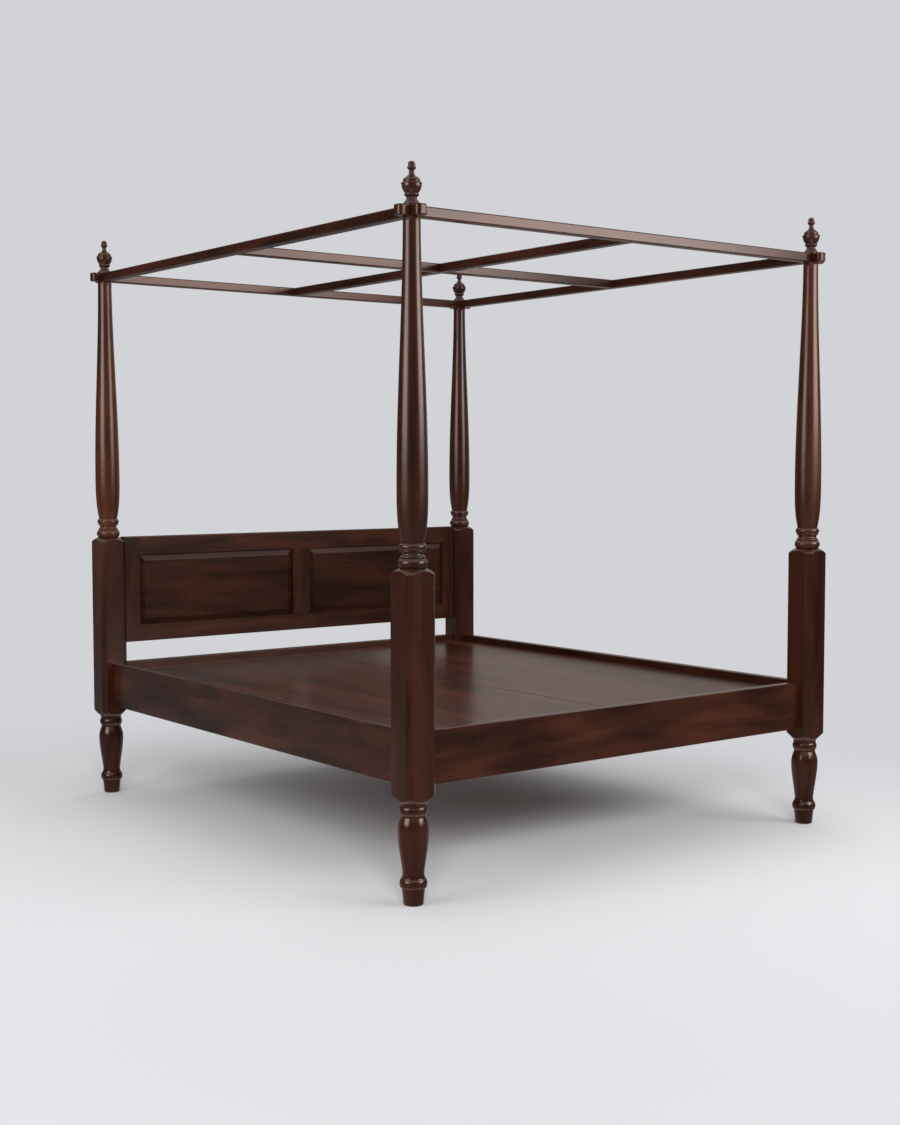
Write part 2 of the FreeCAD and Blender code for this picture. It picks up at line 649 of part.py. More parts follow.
def ledger_screws(side, clearance=0.0):
    """Screws through a ledger into its side rail, set between the bearers, or their holes."""
    made = []
    head_x = side * (RAIL_INNER_X - LEDGER_SIDE)
    height = (LEDGER_BOTTOM + LEDGER_TOP) / 2
    stations = bearer_stations()
    for first, second in zip(stations, stations[1:]):
        place = Vector(head_x, (first + second) / 2, height)
        made.append(aimed(screw(LEDGER_SIDE + LEDGER_SCREW_BITE, clearance), Vector(side, 0, 0), place))
    return made


def bearer_stations():
    """Where the bearers' middles lie along the bed."""
    last = POST_INNER_Y - BEARER_END_INSET
    pitch = 2 * last / (BEARER_COUNT - 1)
    return [-last + pitch * i for i in range(BEARER_COUNT)]


def bearer_screws(station, clearance=0.0):
    """Two screws up through the ledgers into a bearer's ends, or their holes."""
    made = []
    for side in SIDES.values():
        place = Vector(side * (RAIL_INNER_X - LEDGER_SIDE / 2), station, LEDGER_BOTTOM)
        made.append(aimed(screw(LEDGER_SIDE + LEDGER_SCREW_BITE, clearance), UP, place))
    return made


def ledger(side):
    """Strip along the inside of a side rail that the bearers lie on."""
    strip = block(
        (side * RAIL_INNER_X, side * (RAIL_INNER_X - LEDGER_SIDE)),
        (-LEDGER_HALF, LEDGER_HALF),
        (LEDGER_BOTTOM, LEDGER_TOP),
    )
    strip = strip.cut(Part.makeCompound(ledger_screws(side, SCREW_CLEARANCE)))
    for station in bearer_stations():
        strip = strip.cut(Part.makeCompound(bearer_screws(station, SCREW_CLEARANCE)))
    return strip


def bearer(station):
    """Cross bearer from ledger to ledger under the deck."""
    half = RAIL_INNER_X - BEARER_CLEARANCE
    plank = block((-half, half), about(station, BEARER_WIDTH), (LEDGER_TOP, DECK_BOTTOM))
    return plank.cut(Part.makeCompound(bearer_screws(station, SCREW_CLEARANCE)))


def deck_panel(side):
    """Loose half of the deck, notched round the posts."""
    outer = RAIL_INNER_X - DECK_CLEARANCE
    half = RAIL_INNER_Y - DECK_CLEARANCE
    panel = block((side * DECK_SEAM / 2, side * outer), (-half, half), (DECK_BOTTOM, DECK_TOP))
    notch_x = POST_INNER_X - DECK_NOTCH_CLEARANCE
    notch_y = POST_INNER_Y - DECK_NOTCH_CLEARANCE
    for end in ENDS.values():
        notch = block((side * notch_x, side * outer), (end * notch_y, end * half), (DECK_BOTTOM, DECK_TOP))
        panel = panel.cut(notch)
    return panel


def headboard_tongue(side, clearance=0.0):
    """Tongue on a stile's outer edge, or with a clearance its groove in the head post."""
    edge = side * POST_INNER_X
    reach = POST_TONGUE_LENGTH + (TENON_END_GAP if clearance else 0.0)
    return block(
        (edge, edge + side * reach),
        about(HEADBOARD_MIDDLE, POST_TONGUE_THICKNESS + 2 * clearance),
        (HEADBOARD_BOTTOM + POST_TONGUE_INSET - clearance, HEADBOARD_TOP - POST_TONGUE_INSET + clearance),
    )


def panel_grooves():
    """The grooves that both panels sit in, as two plates that run past the openings."""
    plates = []
    for side in SIDES.values():
        plates.append(block(
            (side * (OPENING_INNER_X - GROOVE_DEPTH), side * (OPENING_OUTER_X + GROOVE_DEPTH)),
            (TONGUE_FRONT - GROOVE_CLEARANCE, TONGUE_BACK + GROOVE_CLEARANCE),
            (OPENING_BOTTOM - GROOVE_DEPTH, OPENING_TOP + GROOVE_DEPTH),
        ))
    return Part.makeCompound(plates)


def frame_bar(xs, zs):
    """Headboard frame piece, eased along the headboard's top and bottom, grooved for the panels."""
    stock = block(xs, (HEADBOARD_FRONT, HEADBOARD_BACK), zs)
    edges = []
    for edge in stock.Edges:
        height = edge.CenterOfMass.z
        outer = min(abs(height - level) for level in (HEADBOARD_BOTTOM, HEADBOARD_TOP)) < NEAR
        if outer and edge.BoundBox.XLength > edge.BoundBox.YLength:
            edges.append(edge)
    if edges:
        stock = stock.makeFillet(HEADBOARD_EASE, edges)
    return stock.cut(panel_grooves())


def frame_rail_spans():
    return {
        "bottom": (HEADBOARD_BOTTOM, OPENING_BOTTOM),
        "top": (OPENING_TOP, HEADBOARD_TOP),
    }


def frame_rail_tenon(name, side, clearance=0.0):
    """Tenon of the top or bottom rail, or its mortise in a stile, clear of the panel grooves."""
    low, high = frame_rail_spans()[name]
    if name == "top":
        zs = (low + GROOVE_DEPTH + FRAME_TENON_INSET, high - FRAME_TENON_INSET)
    else:
        zs = (low + FRAME_TENON_INSET, high - GROOVE_DEPTH - FRAME_TENON_INSET)
    reach = FRAME_TENON_LENGTH + (TENON_END_GAP if clearance else 0.0)
    return block(
        (side * OPENING_OUTER_X, side * (OPENING_OUTER_X + reach)),
        about(HEADBOARD_MIDDLE, FRAME_TENON_THICKNESS + 2 * clearance),
        (zs[0] - clearance, zs[1] + clearance),
    )


def muntin_tenon(name, clearance=0.0):
    """Tenon of the muntin into the top or bottom rail, or its mortise."""
    reach = FRAME_TENON_LENGTH + (TENON_END_GAP if clearance else 0.0)
    zs = (OPENING_TOP, OPENING_TOP + reach) if name == "top" else (OPENING_BOTTOM - reach, OPENING_BOTTOM)
    width = MUNTIN_WIDTH - 2 * (GROOVE_DEPTH + FRAME_TENON_INSET) + 2 * clearance
    return block(about(0, width), about(HEADBOARD_MIDDLE, FRAME_TENON_THICKNESS + 2 * clearance), zs)


def headboard_rail(name):
    rail = frame_bar((-OPENING_OUTER_X, OPENING_OUTER_X), frame_rail_spans()[name])
    for side in SIDES.values():
        rail = rail.fuse(frame_rail_tenon(name, side))
    return rail.removeSplitter().cut(muntin_tenon(name, TENON_CLEARANCE))


def headboard_stile(side):
    stile = frame_bar((side * OPENING_OUTER_X, side * POST_INNER_X), (HEADBOARD_BOTTOM, HEADBOARD_TOP))
    for name in frame_rail_spans():
        stile = stile.cut(frame_rail_tenon(name, side, TENON_CLEARANCE))
    return stile.fuse(headboard_tongue(side)).removeSplitter()


def headboard_muntin():
    muntin = frame_bar(about(0, MUNTIN_WIDTH), (OPENING_BOTTOM, OPENING_TOP))
    for name in frame_rail_spans():
        muntin = muntin.fuse(muntin_tenon(name))
    return muntin.removeSplitter()


def rectangle(xs, y, zs):
    low, high = zs
    left, right = xs
    outline = [(left, low), (right, low), (right, high), (left, high), (left, low)]
    return Part.makePolygon([Vector(x, y, z) for x, z in outline])


def headboard_panel(side):
    """Raised and fielded panel: a flat field, four bevels and a tongue that floats in the grooves."""
    xs = sorted((side * OPENING_INNER_X, side * OPENING_OUTER_X))
    zs = (OPENING_BOTTOM, OPENING_TOP)

    def inset(span, amount):
        return (span[0] + amount, span[1] - amount)

    tongue_out = PANEL_FLOAT - GROOVE_DEPTH
    tongue = block(inset(xs, tongue_out), (TONGUE_FRONT, TONGUE_BACK), inset(zs, tongue_out))
    foot = rectangle(inset(xs, PANEL_REVEAL), TONGUE_FRONT, inset(zs, PANEL_REVEAL))
    field_y = TONGUE_FRONT - PANEL_BEVEL_DROP
    field = rectangle(inset(xs, PANEL_BEVEL_WIDTH), field_y, inset(zs, PANEL_BEVEL_WIDTH))
    raised = Part.makeLoft([foot, field], True, True)
    return tongue.fuse(raised).removeSplitter()


def make_parts():
    studs, hooks, slots, screws = [], [], [], []
    for name, (side, end) in CORNERS.items():
        parts[f"lower_post_{name}"] = lower_post(side, end)
        parts[f"upper_post_{name}"] = upper_post(side, end)
        parts[f"finial_{name}"] = finial(side, end)
        parts[f"finial_pin_{name}"] = finial_pin(side, end)
        studs.append(post_stud(side, end))
        hooks.append(rail_hook_plate(side, end))
        slots.append(post_slot_plate(side, end))
        screws += plate_screws(side, end, 1) + plate_screws(side, end, -1)
    parts["post_studs"] = Part.makeCompound(studs)
    parts["rail_hook_plates"] = Part.makeCompound(hooks)
    parts["post_slot_plates"] = Part.makeCompound(slots)
    parts["plate_screws"] = Part.makeCompound(screws)

    for name, side in SIDES.items():
        parts[f"tester_side_rail_{name}"] = tester_side_rail(side)
        parts[f"side_rail_{name}"] = side_rail(side)
        parts[f"ledger_{name}"] = ledger(side)
        parts[f"deck_panel_{name}"] = deck_panel(side)
        parts[f"headboard_stile_{name}"] = headboard_stile(side)
        parts[f"headboard_panel_{name}"] = headboard_panel(side)
    for name, end in ENDS.items():
        parts[f"tester_{name}_rail"] = tester_end_rail(end)
        parts[f"{name}_rail"] = end_rail(end)
    parts["tester_cross_rail"] = cross_rail_stock().cut(lap(0, 0, (TESTER_BOTTOM, TESTER_MIDDLE)))
    parts["tester_centre_rail"] = centre_rail_stock().cut(lap(0, 0, (TESTER_MIDDLE, TESTER_TOP)))
    parts["headboard_top_rail"] = headboard_rail("top")
    parts["headboard_bottom_rail"] = headboard_rail("bottom")
    parts["headboard_muntin"] = headboard_muntin()

    supports = []
    for number, station in enumerate(bearer_stations(), 1):
        parts[f"bearer_{number}"] = bearer(station)
        supports += bearer_screws(station)
    parts["bearer_screws"] = Part.makeCompound(supports)
    fixings = [made for side in SIDES.values() for made in ledger_screws(side)]
    parts["ledger_screws"] = Part.makeCompound(fixings)


def main():
    make_parts()
    os.makedirs("parts", exist_ok=True)
    for name, shape in parts.items():
        shape.exportStep(f"parts/{name}.step")
        print(name, len(shape.Solids), round(shape.Volume / 1000.0, 1), "cm3", shape.isValid())


main()
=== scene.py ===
import json
from math import atan2, copysign, cos, hypot, pi, radians, sin, sqrt

import bmesh
import bpy
from mathutils import Matrix, Vector
from mathutils.geometry import interpolate_bezier

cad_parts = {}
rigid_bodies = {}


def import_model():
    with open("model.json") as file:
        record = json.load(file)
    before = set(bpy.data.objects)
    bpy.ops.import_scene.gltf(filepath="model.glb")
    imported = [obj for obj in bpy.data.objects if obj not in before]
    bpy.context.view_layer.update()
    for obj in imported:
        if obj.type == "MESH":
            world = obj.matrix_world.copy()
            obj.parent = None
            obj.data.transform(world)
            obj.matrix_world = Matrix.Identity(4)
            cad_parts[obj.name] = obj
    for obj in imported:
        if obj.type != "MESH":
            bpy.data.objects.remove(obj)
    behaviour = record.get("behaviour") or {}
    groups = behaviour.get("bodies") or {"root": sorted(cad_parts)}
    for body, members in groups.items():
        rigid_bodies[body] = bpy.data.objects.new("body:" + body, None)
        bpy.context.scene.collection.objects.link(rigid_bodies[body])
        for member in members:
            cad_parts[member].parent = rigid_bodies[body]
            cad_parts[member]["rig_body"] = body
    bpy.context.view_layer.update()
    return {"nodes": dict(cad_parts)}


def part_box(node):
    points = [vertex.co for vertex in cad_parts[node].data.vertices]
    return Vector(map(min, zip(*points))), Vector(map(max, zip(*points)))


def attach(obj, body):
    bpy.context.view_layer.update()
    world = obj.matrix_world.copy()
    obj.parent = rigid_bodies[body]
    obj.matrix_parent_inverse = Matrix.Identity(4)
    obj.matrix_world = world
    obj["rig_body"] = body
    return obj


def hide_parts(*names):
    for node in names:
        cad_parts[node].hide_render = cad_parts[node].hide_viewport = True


# Looks of the four-poster bed: dark stained hardwood under satin lacquer, on a pale studio floor.
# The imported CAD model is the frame. Everything is in metres, with the floor at height 0, apart from
# the sizes of turned and shaped pieces, which are in millimetres as on a maker's drawing.

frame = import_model()
nodes = frame["nodes"]
scene = bpy.context.scene


# Shader helpers

MIX_SHARE, MIX_FIRST, MIX_SECOND = 0, 6, 7
MIX_COLOUR = 2
VECTORS = "ShaderNodeVectorMath"


def rgb(red, green, blue):
    """An opaque colour."""
    return (red, green, blue, 1.0)


def grey(value):
    """An opaque grey."""
    return rgb(value, value, value)


def new_material(name):
    """A material with its node tree and its shader."""
    material = bpy.data.materials.new(name)
    material.use_nodes = True
    return material, material.node_tree, material.node_tree.nodes["Principled BSDF"]


def feed(tree, socket, value):
    """Links another node's output to a socket, or sets the socket to a plain value."""
    if isinstance(value, bpy.types.NodeSocket):
        tree.links.new(value, socket)
    else:
        socket.default_value = value


def add_node(tree, kind, **inputs):
    """A new shader node, with values or links for the inputs named."""
    node = tree.nodes.new(kind)
    for name, value in inputs.items():
        feed(tree, node.inputs[name.replace("_", " ")], value)
    return node


def surface(tree, coordinates):
    """Place on a piece, or the way that its surface faces."""
    return tree.nodes.new("ShaderNodeTexCoord").outputs[coordinates]


def part_of(tree, vector, axis):
    """One coordinate of a vector."""
    return add_node(tree, "ShaderNodeSeparateXYZ", Vector=vector).outputs[axis]


def noise(tree, vector, repeats, detail, roughness=0.5, distortion=0.0, output="Fac"):
    """Soft noise with so many repeats a metre along and across the grain."""
    along, across = repeats
    stretched = add_node(tree, "ShaderNodeMapping", Vector=vector, Scale=(along, across, across))
    node = add_node(
        tree, "ShaderNodeTexNoise", Vector=stretched.outputs["Vector"], Scale=1.0, Detail=detail,
        Roughness=roughness, Distortion=distortion,
    )
    return node.outputs[output]


def spread(tree, value, low, high, out_low=0.0, out_high=1.0):
    """Stretches the part of a value between low and high over a new range, and clamps it there."""
    node = add_node(
        tree, "ShaderNodeMapRange", Value=value,
        From_Min=low, From_Max=high, To_Min=out_low, To_Max=out_high,
    )
    node.interpolation_type = "SMOOTHSTEP"
    return node.outputs["Result"]


def mixed(tree, share, first, second):
    """A colour between two others."""
    node = tree.nodes.new("ShaderNodeMix")
    node.data_type = "RGBA"
    for index, value in ((MIX_SHARE, share), (MIX_FIRST, first), (MIX_SECOND, second)):
        feed(tree, node.inputs[index], value)
    return node.outputs[MIX_COLOUR]


def maths(tree, operation, *values, kind="ShaderNodeMath", output="Value"):
    """The result of a sum on plain values, or on vectors where the kind says so."""
    node = tree.nodes.new(kind)
    node.operation = operation
    for socket, value in zip(node.inputs, values):
        feed(tree, socket, value)
    return node.outputs[output]


# Figure of the stained hardwood. Its noises repeat so often in a metre along and across the grain.

SWAY_REPEATS = (1.3, 5.0)
WARMTH_REPEATS = (2.2, 13.0)
CLOUD_REPEATS = (2.4, 14.0)
STREAK_REPEATS = (2.6, 40.0)
FIBRE_REPEATS = (14.0, 260.0)
PORE_REPEATS = (40.0, 900.0)
# How far the grain sways sideways
SWAY = (0.0, 0.09, 0.09)
# Part of each noise that is stretched to the full effect
WARMTH_RANGE = (0.36, 0.66)
CLOUD_RANGE = (0.42, 0.72)
STREAK_RANGE = (0.42, 0.74)
FIBRE_RANGE = (0.3, 0.7)
PORE_RANGE = (0.62, 0.74)
FULL_RANGE = (0.0, 1.0)
HOLLOW_RANGE = (0.0, 2.0)
# Most that streaks, fibres and pores darken the stain, and that fibres and pores change the polish
STREAK_SHARE = 0.45
FIBRE_SHARE = 0.12
PORE_SHARE = 0.3
FIBRE_DULLING = 0.006
PORE_DULLING = 0.012

STAIN_TONES = ("Dark", "Brown", "Red")
GRAIN_SOCKETS = (
    ("INPUT", "NodeSocketVector", ("Vector",)),
    ("INPUT", "NodeSocketColor", STAIN_TONES),
    ("INPUT", "NodeSocketFloat", ("Figure", "Polish")),
    ("OUTPUT", "NodeSocketColor", ("Color",)),
    ("OUTPUT", "NodeSocketFloat", ("Roughness", "Height")),
)


def stained_grain_group():
    """Figure of a stained board whose grain runs along X: colour, roughness and pore height."""
    tree = bpy.data.node_groups.new("stained_grain", "ShaderNodeTree")
    for in_out, kind, names in GRAIN_SOCKETS:
        for name in names:
            tree.interface.new_socket(name, in_out=in_out, socket_type=kind)
    given = tree.nodes.new("NodeGroupInput").outputs
    result = tree.nodes.new("NodeGroupOutput").inputs

    straight = given["Vector"]
    sway = noise(tree, straight, SWAY_REPEATS, detail=2.0, output="Color")
    wavy = maths(tree, "MULTIPLY_ADD", sway, SWAY, straight, kind=VECTORS, output="Vector")
    warmth = noise(tree, wavy, WARMTH_REPEATS, detail=2.0)
    clouds = noise(tree, wavy, CLOUD_REPEATS, detail=2.0, distortion=0.4)
    streaks = noise(tree, wavy, STREAK_REPEATS, detail=3.0, roughness=0.55, distortion=0.2)
    fibres = spread(tree, noise(tree, wavy, FIBRE_REPEATS, detail=3.0, roughness=0.6), *FIBRE_RANGE)
    pores = spread(tree, noise(tree, wavy, PORE_REPEATS, detail=2.0, roughness=0.6), *PORE_RANGE)

    board = mixed(tree, spread(tree, warmth, *WARMTH_RANGE), given["Brown"], given["Red"])
    for darkening in (
        spread(tree, clouds, *CLOUD_RANGE),
        spread(tree, streaks, *STREAK_RANGE, 0.0, STREAK_SHARE),
        spread(tree, fibres, *FULL_RANGE, 0.0, FIBRE_SHARE),
        spread(tree, pores, *FULL_RANGE, 0.0, PORE_SHARE),
    ):
        share = maths(tree, "MULTIPLY", darkening, given["Figure"])
        board = mixed(tree, share, board, given["Dark"])
    tree.links.new(board, result["Color"])

    fibre_dulling = spread(tree, fibres, *FULL_RANGE, -FIBRE_DULLING, FIBRE_DULLING)
    pore_dulling = spread(tree, pores, *FULL_RANGE, 0.0, PORE_DULLING)
    dulled = maths(tree, "ADD", fibre_dulling, given["Polish"])
    tree.links.new(maths(tree, "ADD", dulled, pore_dulling), result["Roughness"])
    hollows = maths(tree, "ADD", fibres, pores)
    tree.links.new(spread(tree, hollows, *HOLLOW_RANGE, 1.0, 0.0), result["Height"])
    return tree


STAINED_GRAIN = stained_grain_group()


# Woods. The turns bring a grain across, along or up the bed onto X.

ACROSS, ALONG, UPRIGHT = "X", "Y", "Z"
GRAIN_TURNS = {
    ACROSS: (0.0, 0.0, 0.0),
    ALONG: (0.0, 0.0, -pi / 2),
    UPRIGHT: (0.0, pi / 2, 0.0),
}
DARK_STAIN = (rgb(0.0115, 0.0031, 0.0018), rgb(0.045, 0.0140, 0.0080), rgb(0.078, 0.0222, 0.0106))
# Painted sheen: the dark stain made about 1.3 times as bright, for every rail across the bed,
# standing in for the floor's reflection on their front faces, since the floor is hidden from
# reflections
RAIL_STAIN_PAINTED_SHEEN = (rgb(0.0145, 0.0038, 0.0021), rgb(0.059, 0.0172, 0.0096), rgb(0.102, 0.0276, 0.0126))
WARM_STAIN = (rgb(0.020, 0.0054, 0.0028), rgb(0.074, 0.0215, 0.0108), rgb(0.112, 0.0310, 0.0135))
DECK_STAIN = (rgb(0.024, 0.0072, 0.0040), rgb(0.090, 0.0262, 0.0136), rgb(0.136, 0.0375, 0.0172))
THIN_STAIN = (rgb(0.09, 0.045, 0.025), rgb(0.19, 0.105, 0.062), rgb(0.22, 0.115, 0.065))
FINE_PORES = 0.004
OPEN_PORES = 0.15
PORE_DEPTH = 0.0004
POST_FINISH = {"figure": 0.55, "polish": 0.22, "gloss": 0.8, "relief": FINE_PORES}
SHAFT_FINISH = {"figure": 0.55, "polish": 0.27, "gloss": 0.85}
WARM_SHAFT_FINISH = {"figure": 0.5, "polish": 0.27, "gloss": 0.85}
RAIL_FINISH = {"figure": 0.75, "polish": 0.24, "gloss": 0.65, "relief": FINE_PORES}
PANEL_FINISH = {"figure": 0.65, "polish": 0.26, "gloss": 0.42, "relief": FINE_PORES}
DECK_FINISH = {"figure": 0.85, "polish": 0.26, "gloss": 0.2, "fineness": 0.4}
BEARER_FINISH = {"figure": 0.5, "polish": 0.6, "gloss": 0.3, "relief": OPEN_PORES}
LACQUER_TINT = rgb(1.0, 0.78, 0.70)
# Painted shade: near-black colour laid into the deck's seam, where the narrow gap between the boards
# lies in shade
SEAM_PAINTED_SHADE = rgb(0.006, 0.003, 0.002)
# Distances from the bed's centre line between which the seam's painted shade fades out
SEAM_PAINTED_SHADE_SPAN = (0.002, 0.0045)
# Upward parts of a face's direction between which the dulling sets in
TOP_FACING = (0.1, 0.5)
TOP_DULLING = 0.6


def stained_wood(name, grain, stain, figure, polish, gloss, relief=0.0, fineness=1.0):
    """Stained hardwood with its grain along one axis of the bed.

    figure is the grain's strength and fineness its scale, polish is the lacquer's roughness and gloss
    the strength of its reflections, and relief is how much the pores show."""
    material, tree, shader = new_material(name)
    place = add_node(
        tree, "ShaderNodeMapping", Vector=surface(tree, "Object"),
        Rotation=GRAIN_TURNS[grain], Scale=(fineness, fineness, fineness),
    )
    wood = tree.nodes.new("ShaderNodeGroup")
    wood.node_tree = STAINED_GRAIN
    tree.links.new(place.outputs["Vector"], wood.inputs["Vector"])
    for socket, value in dict(zip(STAIN_TONES, stain), Figure=figure, Polish=polish).items():
        wood.inputs[socket].default_value = value
    tree.links.new(wood.outputs["Color"], shader.inputs["Base Color"])
    tree.links.new(wood.outputs["Roughness"], shader.inputs["Roughness"])
    if relief:
        bump = add_node(
            tree, "ShaderNodeBump", Height=wood.outputs["Height"],
            Strength=relief, Distance=PORE_DEPTH,
        )
        tree.links.new(bump.outputs["Normal"], shader.inputs["Normal"])
    shader.inputs["Specular IOR Level"].default_value = gloss
    shader.inputs["Specular Tint"].default_value = LACQUER_TINT
    return material


def paint_seam_shade(material):
    """Painted shade in the seam where two boards meet on the bed's centre line: its walls and edges
    are coloured near black, standing in for the shade in the narrow gap.
    """
    tree = material.node_tree
    colour = tree.nodes["Principled BSDF"].inputs["Base Color"]
    off_centre = maths(tree, "ABSOLUTE", part_of(tree, surface(tree, "Object"), "X"))
    # edge is the share of painted shade, full in the seam and fading out beside it
    edge = spread(tree, off_centre, *SEAM_PAINTED_SHADE_SPAN, 1.0, 0.0)
    tree.links.new(mixed(tree, edge, colour.links[0].from_socket, SEAM_PAINTED_SHADE), colour)


def dull_top(material):
    """Leaves the tops unpolished on pieces above eye level, so that they don't glare from above."""
    tree = material.node_tree
    roughness = tree.nodes["Principled BSDF"].inputs["Roughness"]
    upwards = part_of(tree, surface(tree, "Normal"), "Z")
    dulling = spread(tree, upwards, *TOP_FACING, 0.0, TOP_DULLING)
    tree.links.new(maths(tree, "ADD", roughness.links[0].from_socket, dulling), roughness)


post_wood = stained_wood("post_wood", UPRIGHT, DARK_STAIN, **POST_FINISH)
shaft_wood = stained_wood("shaft_wood", UPRIGHT, DARK_STAIN, **SHAFT_FINISH)
warm_shaft_wood = stained_wood("warm_shaft_wood", UPRIGHT, WARM_STAIN, **WARM_SHAFT_FINISH)
# The rails across the bed, the tester's among them, carry painted sheen in their lighter stain
rail_wood_across_painted_sheen = stained_wood("rail_wood_across_painted_sheen", ACROSS, RAIL_STAIN_PAINTED_SHEEN, **RAIL_FINISH)
rail_wood_along = stained_wood("rail_wood_along", ALONG, DARK_STAIN, **RAIL_FINISH)
tester_wood_across_painted_sheen = stained_wood("tester_wood_across_painted_sheen", ACROSS, RAIL_STAIN_PAINTED_SHEEN, **RAIL_FINISH)
tester_wood_along = stained_wood("tester_wood_along", ALONG, DARK_STAIN, **RAIL_FINISH)
dull_top(tester_wood_across_painted_sheen)
dull_top(tester_wood_along)
panel_wood = stained_wood("panel_wood", ACROSS, DARK_STAIN, **PANEL_FINISH)
deck_wood = stained_wood("deck_wood", ALONG, DECK_STAIN, **DECK_FINISH)
# Painted shade in the seam between the two deck boards
paint_seam_shade(deck_wood)
bearer_wood_across = stained_wood("bearer_wood_across", ACROSS, THIN_STAIN, **BEARER_FINISH)
bearer_wood_along = stained_wood("bearer_wood_along", ALONG, THIN_STAIN, **BEARER_FINISH)


# Steel of studs, pins, plates and screws

ZINC_DARK = rgb(0.42, 0.42, 0.43)
ZINC_PALE = grey(0.6)
ZINC_REPEATS = (60.0, 60.0)
ZINC_RANGE = (0.3, 0.7)
ZINC_ROUGHNESS = (0.28, 0.45)


def zinc_plate():
    """Zinc plated steel, slightly clouded."""
    material, tree, shader = new_material("zinc_plate")
    cloud = noise(tree, surface(tree, "Object"), ZINC_REPEATS, detail=4.0)
    tree.links.new(mixed(tree, cloud, ZINC_DARK, ZINC_PALE), shader.inputs["Base Color"])
    tree.links.new(spread(tree, cloud, *ZINC_RANGE, *ZINC_ROUGHNESS), shader.inputs["Roughness"])
    shader.inputs["Metallic"].default_value = 1.0
    return material


steel = zinc_plate()


# Finishes of the CAD pieces, by how their names start

STEEL_PIECES = (
    "bearer_screws", "ledger_screws", "plate_screws",
    "post_studs", "post_slot", "rail_hook", "finial_pin",
)
UPRIGHT_PIECES = ("lower_post", "upper_post", "finial", "headboard_stile", "headboard_muntin")
FINISHES = (
    (STEEL_PIECES, steel),
    ("bearer", bearer_wood_across),
    ("ledger", bearer_wood_along),
    ("deck", deck_wood),
    ("headboard_panel", panel_wood),
    (UPRIGHT_PIECES, post_wood),
    (("tester_side", "tester_centre"), tester_wood_along),
    ("tester", tester_wood_across_painted_sheen),
    ("side_rail", rail_wood_along),
)


def finish_for(node):
    """The first finish that fits a piece's name. The other rails run across the bed."""
    for starts, finish in FINISHES:
        if node.startswith(starts):
            return finish
    return rail_wood_across_painted_sheen


for name, node in nodes.items():
    for place in node.material_slots:
        place.material = finish_for(name)


# Turned and shaped pieces. Their sizes are in millimetres, bores as radius and depth.

MM = 0.001
CORNERS = ("foot_left", "foot_right", "head_left", "head_right")
SIDES = ("left", "right")
WARM_SHAFTS = ("foot_right", "head_left")
POST_STEPS = 96
FINIAL_STEPS = 64
BLOCK_HALF = 57.0
BLOCK_FLAT = 40.0
BLOCK_SPARE = 1.0
BLOCK_CORNER = hypot(BLOCK_HALF, BLOCK_FLAT) + BLOCK_SPARE
BLOCK_CHAMFER = (BLOCK_HALF + BLOCK_FLAT) / sqrt(2.0)
BLOCK_TAPER = 29.0
BLOCK_SHOULDER = 25.0
STUD_BORE = (8.15, 70.5)
PIN_BORE_IN_POST = (5.4, 50.5)
PIN_BORE_IN_FINIAL = (5.1, 34.5)
PANEL_RISE = 10.0
PANEL_TONGUE = 9.0
PANEL_BEVEL = 25.0
PANEL_SHOULDER = 2.0
PANEL_LEAN = 0.1
DECK_NOTCH = 35.5
SEAM_DEPTH = 9.0
SEAM_CLEARANCE = 0.02

# Easings of edges, and the share of a short face that an easing may take
TURNED_EASE = 0.6
ARRIS_EASE = 1.4
FIELD_EASE = 0.8
DECK_EASE = 1.5
DECK_EASE_STEPS = 3
EASE_SHARE = 0.4
# Corners of an outline that are flatter than this many degrees aren't eased
FLAT_CORNER = 145.0

# Edges that turn by more degrees than these stay sharp
TURNED_CRISP = 32.0
PLANED_CRISP = 75.0
PANEL_CRISP = 12.0

# Tolerances in metres: points that are one, points that planing leaves close together, planes of a
# cut, points on a face, and the least rise of a block's arris
SAME_POINT = 1e-6
PLANED_POINT = 0.0002
CUT_PLANE = 1e-7
ON_FACE = 1e-5
ARRIS_RISE = 0.3


